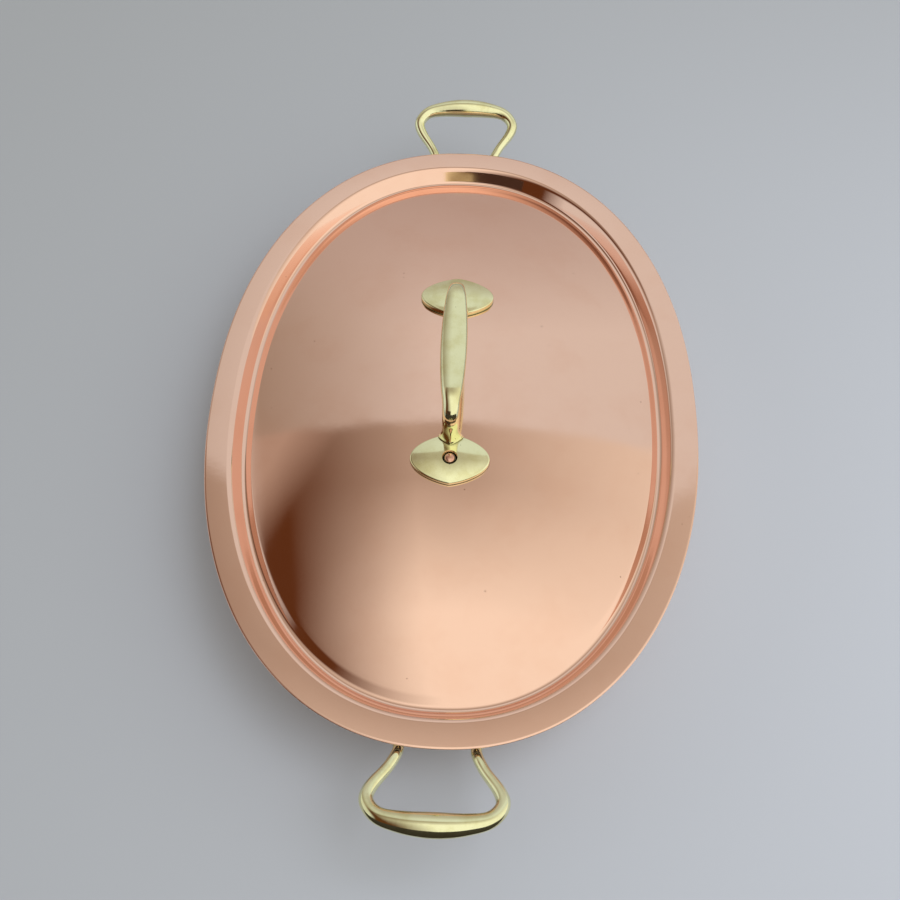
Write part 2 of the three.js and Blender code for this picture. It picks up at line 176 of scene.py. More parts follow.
def circle(sides: int) -> np.ndarray:
    """Points of the unit circle, one row each."""
    angle = np.linspace(0, 2 * math.pi, sides, endpoint=False)
    return np.column_stack([np.cos(angle), np.sin(angle)])


def level(points: np.ndarray, z: float) -> np.ndarray:
    """Points of a plan raised to a height."""
    return np.column_stack([points, np.full(len(points), z)])


@dataclass(frozen=True)
class Oval:
    """Plan of the ware: a superellipse at the brim's edge, and the rings inside it."""

    width: float = 280 * MM
    length: float = 396 * MM
    power: float = 2.18
    sides: int = 288
    bearings: int = 1440
    wave_depth: float = 0.05 * MM

    def edge(self, angle: np.ndarray) -> tuple[np.ndarray, np.ndarray]:
        """Points of the brim's edge and their outward directions.

        Args:
            angle: angles about Z from the -Y end, anticlockwise.

        Returns:
            The points and the unit normals, one row each.
        """
        a, b = self.width / 2, self.length / 2
        across, along = np.sin(angle), -np.cos(angle)
        x = a * np.sign(across) * np.abs(across) ** (2 / self.power)
        y = b * np.sign(along) * np.abs(along) ** (2 / self.power)
        out = np.stack(
            [
                np.sign(x) * (np.abs(x) / a) ** (self.power - 1) / a,
                np.sign(y) * (np.abs(y) / b) ** (self.power - 1) / b,
            ],
            axis=1,
        )
        return np.stack([x, y], axis=1), out / np.linalg.norm(out, axis=1)[:, None]

    def ring(self, angle: np.ndarray, radius: float, core: float) -> np.ndarray:
        """Points of the ring that crosses the short axis at radius.

        Args:
            angle: angles of the points.
            radius: half-width of the ring.
            core: half-width down to which rings are parallel to the edge. Smaller ones shrink.

        Returns:
            The points, one row each.
        """
        points, out = self.edge(angle)
        points = points + out * (max(radius, core) - self.width / 2)
        return points * min(1.0, radius / core)

    def radius_at(self, points: np.ndarray, core: float) -> np.ndarray:
        """Half-width of the ring through each of some points, the inverse of ring().

        Args:
            points: points of the plan, one row each.
            core: see ring().

        Returns:
            One half-width a point.
        """
        angle = np.linspace(0, 2 * math.pi, self.bearings, endpoint=False)
        edge, _ = self.edge(angle)
        rim = self.ring(angle, core, core)
        bearing = np.arctan2(rim[:, 0], -rim[:, 1])
        order = np.argsort(bearing)
        reach = np.interp(
            np.arctan2(points[:, 0], -points[:, 1]),
            bearing[order],
            np.hypot(*rim[order].T),
            period=2 * math.pi,
        )
        inner = core * np.hypot(*points.T) / reach
        gap = np.linalg.norm(points[:, None, :] - edge[None, :, :], axis=2).min(axis=1)
        return np.where(inner < core, inner, self.width / 2 - gap)

    def turn(self, section: np.ndarray, core: float) -> "Surface":
        """Body whose every level is a ring.

        Args:
            section: closed section as (radius, height), from the axis round to the axis.
            core: see ring().

        Returns:
            The closed surface.
        """
        angle = np.linspace(0, 2 * math.pi, self.sides, endpoint=False)
        rings = [level(self.ring(angle, radius, core), z) for radius, z in section[1:-1]]
        return Surface.from_rings(rings, (0, 0, section[0][1]), (0, 0, section[-1][1]))

    def sheet(
        self, lower: np.ndarray, upper: np.ndarray, rounding: float, core: float, wave: float
    ) -> "Surface":
        """A pressed sheet, with the slight waves of hand work.

        Args:
            lower: its lower or outer face as (radius, height), out from the axis.
            upper: its upper or inner face.
            rounding: radius that its cut edge is rounded to.
            core: see ring().
            wave: length of a wave.

        Returns:
            The closed surface.
        """
        return self.turn(sheet_section(lower, upper, rounding), core).uneven(wave, self.wave_depth)


@dataclass
class Surface:
    """A mesh in the making: its corners and its faces."""

    points: np.ndarray
    faces: list[tuple[int, ...]]

    @classmethod
    def from_rings(
        cls, rings: Sequence[np.ndarray], start: Sequence[float], end: Sequence[float]
    ) -> "Surface":
        """Closed surface through rings of as many points each, closed to a point at both ends.

        Args:
            rings: arrays of points, in order.
            start: the point that closes the first ring.
            end: the point that closes the last ring.

        Returns:
            The surface.
        """
        count, last = len(rings[0]), len(rings) - 1
        points = np.vstack([np.array([start], float), *rings, np.array([end], float)])

        def at(i: int, j: int) -> int:
            """Number of point j of ring i."""
            return 1 + i * count + j % count

        faces: list[tuple[int, ...]] = [(0, at(0, j + 1), at(0, j)) for j in range(count)]
        for i in range(last):
            faces += [(at(i, j), at(i, j + 1), at(i + 1, j + 1), at(i + 1, j)) for j in range(count)]
        faces += [(len(points) - 1, at(last, j), at(last, j + 1)) for j in range(count)]
        return cls(points, faces)

    def moved(self, frame: Matrix) -> "Surface":
        """The surface carried by a 4x4 matrix."""
        matrix = np.array(frame, float)
        return Surface(self.points @ matrix[:3, :3].T + matrix[:3, 3], self.faces)

    def uneven(self, size: float, depth: float, seed: float = 0.0) -> "Surface":
        """The surface with the slight waves that hand work leaves.

        Args:
            size: length of a wave.
            depth: how far a point may move.
            seed: which waves.

        Returns:
            The waved surface.
        """
        shift = Vector([seed * step for step in SEED_SHIFT])
        moves = [noise.noise_vector(Vector(p) / size + shift) * depth for p in self.points.tolist()]
        return Surface(self.points + np.array(moves), self.faces)

    def mesh(self, name: str) -> bpy.types.Mesh:
        """A Blender mesh of the surface.

        Args:
            name: the mesh's name.

        Returns:
            The mesh.
        """
        made = bpy.data.meshes.new(name)
        made.from_pydata(self.points.tolist(), [], self.faces)
        made.validate()
        made.update()
        return made


def rod(
    centres: np.ndarray,
    side: Callable[[np.ndarray], np.ndarray],
    halves: np.ndarray,
    powers: np.ndarray,
    sides: int = 48,
) -> Surface:
    """A bar bent along a line.

    Args:
        centres: points of its centre line.
        side: sideways direction of the section where the line runs along a direction.
        halves: half-sizes of the section along side and across it, one row a point.
        powers: superellipse power of the section at each point, where 2 is an ellipse.
        sides: points round the section.

    Returns:
        The closed surface.
    """
    along = np.gradient(centres, axis=0)
    along /= np.linalg.norm(along, axis=1)[:, None]
    c, s = circle(sides).T
    rings = []
    for centre, direction, half, power in zip(centres, along, halves, powers):
        wide = side(direction)
        wide = wide / np.linalg.norm(wide)
        high = np.cross(direction, wide)
        reach = (np.abs(c) ** power + np.abs(s) ** power) ** (-1 / power)
        rings.append(centre + np.outer(c * reach * half[0], wide) + np.outer(s * reach * half[1], high))
    return Surface.from_rings(rings, centres[0], centres[-1])


def spline(points: Sequence[np.ndarray], steps: int = 40) -> np.ndarray:
    """Centripetal Catmull-Rom curve through points.

    Args:
        points: the points it goes through.
        steps: points of the line in each stretch.

    Returns:
        The line's points.
    """
    ends = [2 * points[0] - points[1], *points, 2 * points[-1] - points[-2]]
    line = []
    for p0, p1, p2, p3 in zip(ends, ends[1:], ends[2:], ends[3:]):
        d0, d1, d2 = (math.sqrt(float(np.linalg.norm(b - a))) for a, b in ((p0, p1), (p1, p2), (p2, p3)))
        t1 = ((p1 - p0) / d0 - (p2 - p0) / (d0 + d1) + (p2 - p1) / d1) * d1
        t2 = ((p2 - p1) / d1 - (p3 - p1) / (d1 + d2) + (p3 - p2) / d2) * d1
        for t in np.linspace(0, 1, steps, endpoint=False):
            a, b = 2 * p1 - 2 * p2 + t1 + t2, 3 * p2 - 3 * p1 - 2 * t1 - t2
            line.append(((a * t + b) * t + t1) * t + p1)
    return np.array([*line, points[-1]])


def even_line(points: np.ndarray, count: int, smoothing: float) -> np.ndarray:
    """A line through points, with its curvature evened out, in steps of equal length.

    Args:
        points: points close together.
        count: points of the new line.
        smoothing: length over which bends are evened out.

    Returns:
        The new points.
    """
    fine = 2000
    length = np.concatenate([[0], np.cumsum(np.linalg.norm(np.diff(points, axis=0), axis=1))])
    even = np.linspace(0, length[-1], fine)
    line = np.column_stack([np.interp(even, length, points[:, k]) for k in range(3)])
    reach = max(1, round(smoothing / length[-1] * fine))
    weights = np.exp(-0.5 * (np.arange(-3 * reach, 3 * reach + 1) / reach) ** 2)
    weights /= weights.sum()
    # Reflected about its ends, so that they stay where they are
    padded = np.vstack(
        [2 * line[0] - line[1 : 3 * reach + 1][::-1], line, 2 * line[-1] - line[-3 * reach - 1 : -1][::-1]]
    )
    line = np.column_stack([np.convolve(padded[:, k], weights, mode="valid") for k in range(3)])
    return line[np.linspace(0, fine - 1, count).round().astype(int)]


@dataclass(frozen=True)
class Plate:
    """A cast foot with a crowned top.

    Its outline is a superellipse with one power at the tips of its length and one at its sides.
    """

    width: float
    length: float
    powers: tuple[float, float]
    edge: float
    crown: float
    depth: float
    rounding: float = 0.8 * MM
    crown_power: float = 2.3
    back_steps: int = 10
    side_levels: tuple[float, ...] = (0.5, 0.8, 1)
    roll_turns: tuple[float, ...] = (18, 36, 54, 72, 85)
    crown_steps: int = 26
    sides: int = 144

    def surface(self) -> Surface:
        """The plate in its own frame, its top up and its middle at the origin.

        Returns:
            The closed surface.
        """
        halves = (self.width / 2, self.length / 2)
        outline = np.column_stack(
            [
                half * np.sign(part) * np.abs(part) ** (2 / power)
                for half, part, power in zip(halves, circle(self.sides).T, self.powers)
            ]
        )
        roll = 2 * self.rounding / self.length
        # Its back, its upright edge, the edge's rounding and the crown, as (share of the outline, height)
        section = [(share, -self.depth) for share in np.linspace(1 / self.back_steps, 1, self.back_steps)]
        upright = self.edge - self.rounding
        section += [(1.0, lerp(-self.depth, upright, share)) for share in self.side_levels]
        section += [
            (1 - roll * (1 - math.cos(turn)), self.edge - self.rounding * (1 - math.sin(turn)))
            for turn in np.radians(self.roll_turns)
        ]
        section += [
            (share, self.edge + (self.crown - self.edge) * (1 - (share / (1 - roll)) ** self.crown_power))
            for share in np.linspace(1 - roll, 0, self.crown_steps)[1:-1]
        ]
        rings = [level(outline * share, z) for share, z in section]
        return Surface.from_rings(rings, (0, 0, -self.depth), (0, 0, self.crown))


def cutter(radius: float, low: float, high: float, flare: float = 0.0, sides: int = 48) -> Surface:
    """A round cutter about Z, to bore holes with.

    Args:
        radius: its radius at the lower end.
        low: height of the lower end.
        high: height of the upper end.
        flare: angle by which it opens upwards.
        sides: points round it.

    Returns:
        The closed surface.
    """
    rings = [level(circle(sides) * (radius + (z - low) * math.tan(flare)), z) for z in (low, high)]
    return Surface.from_rings(rings, (0, 0, low), (0, 0, high))


def combined(base: Surface, tool: Surface, operation: str) -> Surface:
    """Two closed surfaces as one.

    Args:
        base: the first.
        tool: the second.
        operation: UNION or DIFFERENCE.

    Returns:
        The closed surface of the result.
    """
    objects = [in_scene("work", surface.mesh("work")) for surface in (base, tool)]
    step = objects[0].modifiers.new("work", "BOOLEAN")
    step.operation, step.solver, step.object = operation, "EXACT", objects[1]
    made = objects[0].evaluated_get(bpy.context.evaluated_depsgraph_get()).to_mesh()
    points = np.array([v.co for v in made.vertices], float)
    faces = [tuple(p.vertices) for p in made.polygons]
    for obj in objects:
        mesh = obj.data
        bpy.data.objects.remove(obj)
        bpy.data.meshes.remove(mesh)
    return Surface(points, faces)


def in_scene(name: str, data: bpy.types.ID) -> bpy.types.Object:
    """A new object, linked into the scene.

    Args:
        name: its name.
        data: its mesh, light or camera.

    Returns:
        The object.
    """
    made = bpy.data.objects.new(name, data)
    bpy.context.scene.collection.objects.link(made)
    return made


def linear(colour: str) -> tuple[float, float, float, float]:
    """Linear RGBA of an sRGB colour.

    Args:
        colour: the colour as #RRGGBB.

    Returns:
        Red, green, blue and an alpha of 1.
    """
    parts = [int(colour[i : i + 2], 16) / 255 for i in (1, 3, 5)]
    r, g, b = (p / 12.92 if p <= 0.04045 else ((p + 0.055) / 1.055) ** 2.4 for p in parts)
    return r, g, b, 1.0


def add_node(
    tree: bpy.types.NodeTree, kind: str, inputs: dict | None = None, **settings: object
) -> bpy.types.Node:
    """Adds a node with its settings and links.

    Args:
        tree: the tree it goes into.
        kind: the node's type.
        inputs: socket name or number to a value, or to the output it is linked from.
        settings: the node's own settings.

    Returns:
        The node.
    """
    made = tree.nodes.new(kind)
    for key, value in settings.items():
        setattr(made, key, value)
    for key, value in (inputs or {}).items():
        if isinstance(value, bpy.types.NodeSocket):
            tree.links.new(value, made.inputs[key])
        else:
            made.inputs[key].default_value = value
    return made


def cleared_tree(block: bpy.types.Material | bpy.types.World) -> bpy.types.NodeTree:
    """Empties the node tree of a material or a world.

    Args:
        block: the material or world.

    Returns:
        The tree.
    """
    block.use_nodes = True
    block.node_tree.nodes.clear()
    return block.node_tree


def calculated(
    tree: bpy.types.NodeTree, operation: str, *values: float | bpy.types.NodeSocket
) -> bpy.types.NodeSocket:
    """The outcome of one step of arithmetic on values."""
    return add_node(tree, "ShaderNodeMath", dict(enumerate(values)), operation=operation).outputs["Value"]


def mapped(
    tree: bpy.types.NodeTree,
    value: bpy.types.NodeSocket,
    reach: tuple[float, float],
    onto: tuple[float, float] = (0.0, 1.0),
    **settings: object,
) -> bpy.types.NodeSocket:
    """Maps one range of values onto another, and holds at its ends what lies outside.

    Args:
        tree: the tree it goes into.
        value: what is mapped.
        reach: where the range starts and ends.
        onto: what its start and its end become.
        settings: the node's own settings.

    Returns:
        The mapped value.
    """
    ends = {"From Min": reach[0], "From Max": reach[1], "To Min": onto[0], "To Max": onto[1]}
    return add_node(tree, "ShaderNodeMapRange", {"Value": value, **ends}, **settings).outputs["Result"]


def mixed(
    tree: bpy.types.NodeTree,
    share: bpy.types.NodeSocket,
    first: Sequence[float] | bpy.types.NodeSocket,
    second: Sequence[float] | bpy.types.NodeSocket,
) -> bpy.types.NodeSocket:
    """The colour at a share of the way from a first to a second one."""
    inputs = {"Factor": share, 6: first, 7: second}
    return add_node(tree, "ShaderNodeMix", inputs, data_type="RGBA").outputs[2]


def noisy(
    tree: bpy.types.NodeTree,
    place: bpy.types.NodeSocket,
    size: float,
    detail: float,
    roughness: float = 0.5,
) -> bpy.types.NodeSocket:
    """Soft noise whose patches have a size."""
    inputs = {"Vector": place, "Scale": 1 / size, "Detail": detail, "Roughness": roughness}
    return add_node(tree, "ShaderNodeTexNoise", inputs).outputs["Fac"]


@dataclass(frozen=True)
class Metal:
    """A bare metal surface, with the marks that its making and its use leave on it.

    Colours are what it mirrors of white light. Clouds are the soft patches where handling has
    dulled it, grain is the mark of the last polish or wipe, and specks are pits and spots. Residue
    is the dark paste that polishing leaves in seams and hollows, where no cloth reaches; its colour
    also paints shade there, darkening each place by how closely other surfaces close it in.
    """

    name: str
    colour: str
    cloud_colour: str
    roughness: float
    cloud_roughness: float
    cloud_size: float
    grain_size: float
    grain_stretch: float
    grain_depth: float
    peel_size: float
    peel_depth: float
    speck_colour: str
    speck_size: float
    speck_share: float
    # Residue colour and reach also paint shade into seams and hollows
    residue_and_shade_colour: str
    residue_and_shade_reach: float

    def tint(
        self, tree: bpy.types.NodeTree, place: bpy.types.NodeSocket, clouds: bpy.types.NodeSocket
    ) -> bpy.types.NodeSocket:
        """What the metal mirrors of white light at each place, with shade painted into its hollows.

        Args:
            tree: the material's tree.
            place: the place on the piece.
            clouds: how clouded it is there.

        Returns:
            The colour.
        """
        cloud = mapped(tree, clouds, CLOUD_RANGE, interpolation_type="SMOOTHSTEP")
        tone = mixed(tree, cloud, linear(self.colour), linear(self.cloud_colour))
        # Specks are the cores of scattered cells, so that most cells stay clean
        scale = 1 / (SPECK_CELL * self.speck_size)
        cells = add_node(tree, "ShaderNodeTexVoronoi", {"Vector": place, "Scale": scale}, feature="F1")
        draw = add_node(tree, "ShaderNodeSeparateColor", {"Color": cells.outputs["Color"]}).outputs["Red"]
        chosen = calculated(tree, "LESS_THAN", draw, self.speck_share)
        core = mapped(tree, cells.outputs["Distance"], SPECK_FADE, (1.0, 0.0))
        speck = calculated(tree, "MULTIPLY", chosen, core)
        marked = mixed(tree, speck, tone, linear(self.speck_colour))
        # Painted shade and polish residue: darker where nearby surfaces close the place in
        reach = {"Distance": self.residue_and_shade_reach}
        openness = add_node(tree, "ShaderNodeAmbientOcclusion", reach, samples=6).outputs["AO"]
        residue_and_shade = mapped(tree, openness, RESIDUE_AND_SHADE_RANGE, (1.0, 0.0))
        return mixed(tree, residue_and_shade, marked, linear(self.residue_and_shade_colour))

    def relief(self, tree: bpy.types.NodeTree, place: bpy.types.NodeSocket) -> bpy.types.NodeSocket:
        """The fine strokes of the last polish, and the soft waves under them.

        Args:
            tree: the material's tree.
            place: the place on the piece.

        Returns:
            The bumped normal.
        """
        turned = {"Vector": place, "Rotation": STROKE_TURN, "Scale": (1.0, 1 / self.grain_stretch, 1.0)}
        strokes = add_node(tree, "ShaderNodeMapping", turned).outputs["Vector"]
        grain = noisy(tree, strokes, self.grain_size, 2.0)
        peel = noisy(tree, place, self.peel_size, 1.0)
        fine = {"Height": grain, "Distance": self.grain_depth, "Strength": 1.0}
        bumps = add_node(tree, "ShaderNodeBump", fine).outputs["Normal"]
        soft = {"Height": peel, "Distance": self.peel_depth, "Strength": 1.0, "Normal": bumps}
        return add_node(tree, "ShaderNodeBump", soft).outputs["Normal"]

    def material(self) -> bpy.types.Material:
        """The finish as a Blender material.

        Returns:
            The material.
        """
        made = bpy.data.materials.new(self.name)
        tree = cleared_tree(made)
        place = add_node(tree, "ShaderNodeTexCoord").outputs["Object"]
        clouds = noisy(tree, place, self.cloud_size, 4.0, 0.6)
        inputs = {
            "Base Color": self.tint(tree, place, clouds),
            "Metallic": 1.0,
            "Roughness": mapped(tree, clouds, DULL_RANGE, (self.roughness, self.cloud_roughness)),
            "Normal": self.relief(tree, place),
        }
        shader = add_node(tree, "ShaderNodeBsdfPrincipled", inputs).outputs["BSDF"]
        add_node(tree, "ShaderNodeOutputMaterial", {"Surface": shader})
        return made


# Copper sheet, pressed and buffed: pink in pale light and orange where it mirrors itself
POLISHED_COPPER = Metal(
    name="buffed_copper_sheet",
    colour="#FAD0BC",
    cloud_colour="#F8CCB7",
    roughness=0.055,
    cloud_roughness=0.10,
    cloud_size=34 * MM,
    grain_size=0.7 * MM,
    grain_stretch=24.0,
    grain_depth=0.0012 * MM,
    peel_size=3.2 * MM,
    peel_depth=0.004 * MM,
    speck_colour="#9A6A54",
    speck_size=0.7 * MM,
    speck_share=0.03,
    residue_and_shade_colour="#4A2C1C",
    residue_and_shade_reach=0.9 * MM,
)

# The same copper as rivets, drawn wire with a hammered head that no buff reaches evenly
HAMMERED_COPPER = Metal(
    name="hammered_copper_rivet",
    colour="#F3C3AE",
    cloud_colour="#D89C82",
    roughness=0.16,
    cloud_roughness=0.32,
    cloud_size=3 * MM,
    grain_size=0.5 * MM,
    grain_stretch=3.0,
    grain_depth=0.01 * MM,
    peel_size=1.6 * MM,
    peel_depth=0.05 * MM,
    speck_colour="#5A3826",
    speck_size=0.3 * MM,
    speck_share=0.08,
    residue_and_shade_colour="#2E1C12",
    residue_and_shade_reach=1.2 * MM,
)

# Sand-cast yellow brass, filed and buffed: a pale greenish yellow with a few pits of the casting
BUFFED_BRASS = Metal(
    name="buffed_cast_brass",
    colour="#F6F3C6",
    cloud_colour="#E6DFA9",
    roughness=0.07,
    cloud_roughness=0.13,
    cloud_size=16 * MM,
    grain_size=0.6 * MM,
    grain_stretch=12.0,
    grain_depth=0.0015 * MM,
    peel_size=4 * MM,
    peel_depth=0.012 * MM,
    speck_colour="#4A3F1C",
    speck_size=0.45 * MM,
    speck_share=0.05,
    residue_and_shade_colour="#2A2413",
    residue_and_shade_reach=2.6 * MM,
)

# Tin wiped over the copper while molten: a soft grey sheen with long wipe marks
WIPED_TIN = Metal(
    name="hot_wiped_tin",
    colour="#DCDDDA",
    cloud_colour="#C6C7C4",
    roughness=0.26,
    cloud_roughness=0.4,
    cloud_size=22 * MM,
    grain_size=2.4 * MM,
    grain_stretch=9.0,
    grain_depth=0.05 * MM,
    peel_size=9 * MM,
    peel_depth=0.06 * MM,
    speck_colour="#8C8C88",
    speck_size=0.7 * MM,
    speck_share=0.06,
    residue_and_shade_colour="#8C8C88",
    residue_and_shade_reach=1 * MM,
)


def place_piece(
    name: str,
    surface: Surface,
    material: bpy.types.Material,
    body: Body,
    node: str,
    crease: float = 35,
) -> bpy.types.Object:
    """Puts one finished piece into the scene, in place of its CAD node.

    Args:
        name: the piece's name.
        surface: its shape, in the frame of the CAD.
        material: its finish.
        body: the CAD body it rides on.
        node: the CAD node it replaces.
        crease: angle in degrees above which an edge stays sharp.

    Returns:
        The piece.
    """
    mesh = surface.mesh(name)
    mesh.materials.append(material)
    mesh.shade_smooth()
    mesh.set_sharp_from_angle(angle=math.radians(crease))
    piece = in_scene(name, mesh)
    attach(piece, body.value)
    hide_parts(node)
    log.info("%s: %d faces on %s, for %s", name, len(mesh.polygons), body.value, node)
    return piece


@dataclass(frozen=True)
class Rivet:
    """A solid copper rivet: hammered head above the casting, spread tail under the sheet.

    Seat is the height of the head's underside over the sheet, and grip is the thickness from
    there to the tail. Recess and bore are the heights between which they are cut in the casting.
    Rim and tail_rim are the upright parts of the two edges, and dome_turns the first, last and
    number of a dome's angles, in degrees.
    """

    shank: float
    head: float
    head_rise: float
    tail: float
    seat: float
    grip: float
    recess: tuple[float, float]
    bore: tuple[float, float]
    recess_flare: float = 0.0
    tail_rise: float = 1.6 * MM
    rim: float = 0.3 * MM
    tail_rim: float = 0.25 * MM
    bevel: float = 0.15 * MM
    dome_turns: tuple[float, float, int] = (78, 6, 13)
    wave_size: float = 2.2 * MM
    wave_depth: float = 0.07 * MM
    sides: int = 64

    def surface(self, seed: float) -> Surface:
        """The rivet along Z, the sheet's outer face at z = 0.

        Args:
            seed: which hammer marks.

        Returns:
            The closed surface.
        """
        under, head, tail = self.seat - self.grip, self.head / 2, self.tail / 2
        dome = [(math.sin(t), math.cos(t)) for t in np.radians(np.linspace(*self.dome_turns))]
        section = [
            *[(tail * s, under - self.rim - (self.tail_rise - self.rim) * c) for s, c in dome[::-1]],
            (tail, under - self.tail_rim),
            (tail - self.bevel, under),
            (self.shank / 2, under),
            (self.shank / 2, self.seat),
            (head - self.bevel, self.seat),
            (head, self.seat + self.bevel),
            *[(head * s, self.seat + self.rim + (self.head_rise - self.rim) * c) for s, c in dome],
        ]
        rings = [level(circle(self.sides) * radius, z) for radius, z in section]
        bottom, top = under - self.tail_rise, self.seat + self.head_rise
        rivet = Surface.from_rings(rings, (0, 0, bottom), (0, 0, top))
        return rivet.uneven(self.wave_size, self.wave_depth, seed)

    def holed(self, casting: Surface, frame: Matrix) -> Surface:
        """A casting with the head's recess and the shank's bore cut out.

        Args:
            casting: the casting.
            frame: the rivet's place.

        Returns:
            The cut casting.
        """
        recess = cutter(self.head / 2 + SHANK_GAP, *self.recess, self.recess_flare)
        bore = cutter(self.shank / 2 + SHANK_GAP, *self.bore)
        for tool in (recess, bore):
            casting = combined(casting, tool.moved(frame), "DIFFERENCE")
        return casting


@dataclass
class Pan:
    """The copper pan and its tin lining."""

    oval: Oval
    height: float = 59 * MM
    wall: float = 2 * MM
    rim_inset: float = 10 * MM
    taper: float = math.radians(6)
    corner_radius: float = 18 * MM
    seat_gap: float = 0.3 * MM
    tin: float = 0.4 * MM
    lining_drop: float = 2.5 * MM
    rim_rounding: float = 0.7 * MM
    mesh_step: float = 8 * MM
    wave: float = 30 * MM

    @property
    def rim_radius(self) -> float:
        """Half-width of the rim's outer edge."""
        return self.oval.width / 2 - self.rim_inset

    def face(self, top: float) -> np.ndarray:
        """The outer face from the axis up to a height.

        Args:
            top: the height.

        Returns:
            Its points as (radius, height).
        """
        foot = self.rim_radius - self.height * math.tan(self.taper)
        rim = foot + top * math.tan(self.taper)
        return rounded_line([(0, 0), (foot, 0, self.corner_radius), (rim, top)])

    @property
    def core(self) -> float:
        """Half-width of the flat base, inside which rings shrink to the middle."""
        return float(self.face(self.height)[1][0])

    def radius(self, height: float) -> float:
        """Half-width of the wall's outer face at a height."""
        return self.rim_radius - (self.height - height) * math.tan(self.taper)

    @staticmethod
    def dense(line: np.ndarray, step: float) -> np.ndarray:
        """The line with points added.

        Args:
            line: its points, one row each.
            step: longest stretch that may be left.

        Returns:
            The new points.
        """
        out = [line[:1]]
        for a, b in zip(line[:-1], line[1:]):
            count = max(1, math.ceil(np.linalg.norm(b - a) / step))
            out.append(a + (b - a) * np.linspace(0, 1, count + 1)[1:, None])
        return np.vstack(out)

    def build(self, copper: bpy.types.Material, tin: bpy.types.Material) -> None:
        """Makes the pan's sheet and its lining.

        Args:
            copper: finish of the sheet.
            tin: finish of the lining.
        """
        face = self.dense(self.face(self.height), self.mesh_step)
        inner = offset_line(face, self.wall)
        surface = self.oval.sheet(face, inner, self.rim_rounding, self.core, self.wave)
        place_piece("pan_sheet", surface, copper, Body.PAN, "pan_body")
        face = self.dense(self.face(self.height - self.lining_drop), self.mesh_step)
        outer = offset_line(face, self.wall + self.seat_gap)
        inner = offset_line(face, self.wall + self.seat_gap + self.tin)
        surface = self.oval.sheet(outer, inner, self.tin / 3, self.core, self.wave)
        place_piece("pan_tinning", surface, tin, Body.PAN, "pan_lining")


@dataclass
class Lid:
    """The copper lid, pressed from one sheet, and its tin lining."""

    oval: Oval
    pan: Pan
    sheet: float = 1.2 * MM
    brim_flat: float = 14.6 * MM
    brim_shoulder_radius: float = 4 * MM
    wall_slope: float = math.radians(60)
    valley_depth: float = 9.5 * MM
    valley_radius: float = 2.4 * MM
    dome_shoulder_run: float = 4.6 * MM
    dome_shoulder_rise: float = 2.9 * MM
    dome_shoulder_radius: float = 8 * MM
    dome_rise: float = 23.9 * MM
    edge_run: float = 1.1 * MM
    edge_drop: float = 0.25 * MM
    edge_radius: float = 2 * MM
    edge_rounding: float = 0.5 * MM
    wave: float = 20 * MM
    lining_margin: float = 3 * MM
    dome_steps: int = 44

    @property
    def brim_top(self) -> float:
        """Height of the brim's top face."""
        return self.pan.height + self.pan.seat_gap * 2 + self.pan.tin + self.sheet

    @property
    def core(self) -> float:
        """Half-width of the valley's floor."""
        return self.oval.width / 2 - self.brim_flat - self.valley_depth / math.tan(self.wall_slope)

    @property
    def dome_radius(self) -> float:
        """Half-width of the dome."""
        return self.core - self.dome_shoulder_run

    @property
    def dome_foot(self) -> float:
        """Height of the dome's foot."""
        return self.brim_top + self.dome_shoulder_rise - self.valley_depth

    def face(self, margin: float) -> np.ndarray:
        """The top face from the middle out to the brim's edge, where the buff has rolled it down.

        Args:
            margin: how far it stops short of the edge.

        Returns:
            Its points as (radius, height).
        """
        shares = np.arange(self.dome_steps) / self.dome_steps
        dome = [(self.dome_radius * s, self.dome_foot + self.dome_rise * (1 - s**2)) for s in shares]
        brim = self.oval.width / 2
        return rounded_line(
            [
                *dome,
                (self.dome_radius, self.dome_foot, self.dome_shoulder_radius),
                (self.core, self.brim_top - self.valley_depth, self.valley_radius),
                (brim - self.brim_flat, self.brim_top, self.brim_shoulder_radius),
                (brim - margin - self.edge_run, self.brim_top, self.edge_radius),
                (brim - margin, self.brim_top - self.edge_drop),
            ]
        )

    def height_at(self, points: np.ndarray) -> np.ndarray:
        """Height of the top face over each of some points of the plan."""
        face = self.face(0)
        return np.interp(self.oval.radius_at(points, self.core), face[:, 0], face[:, 1])

    def dome_at(self, y: float) -> tuple[float, float]:
        """The dome's face at a place on the long axis.

        Args:
            y: the place.

        Returns:
            Its height and its tilt about X.
        """
        end = float(np.linalg.norm(self.oval.ring(np.array([0.0]), self.core, self.core)))
        share = abs(y) * self.core / (end * self.dome_radius)
        fall = -2 * self.dome_rise * share * self.core / (end * self.dome_radius)
        return self.dome_foot + self.dome_rise * (1 - share**2), math.atan(fall * math.copysign(1, y))

    def build(self, copper: bpy.types.Material, tin: bpy.types.Material) -> None:
        """Makes the lid's sheet and its lining.

        Args:
            copper: finish of the sheet.
            tin: finish of the lining.
        """
        face = self.face(0)
        lower = offset_line(face, -self.sheet)
        surface = self.oval.sheet(lower, face, self.edge_rounding, self.core, self.wave)
        place_piece("lid_sheet", surface, copper, Body.LID, "lid_shell")
        face = self.face(self.lining_margin)
        depth = self.sheet + self.pan.seat_gap
        lower, upper = offset_line(face, -depth - self.pan.tin), offset_line(face, -depth)
        surface = self.oval.sheet(lower, upper, self.pan.tin / 3, self.core, self.wave)
        place_piece("lid_tinning", surface, tin, Body.LID, "lid_lining")


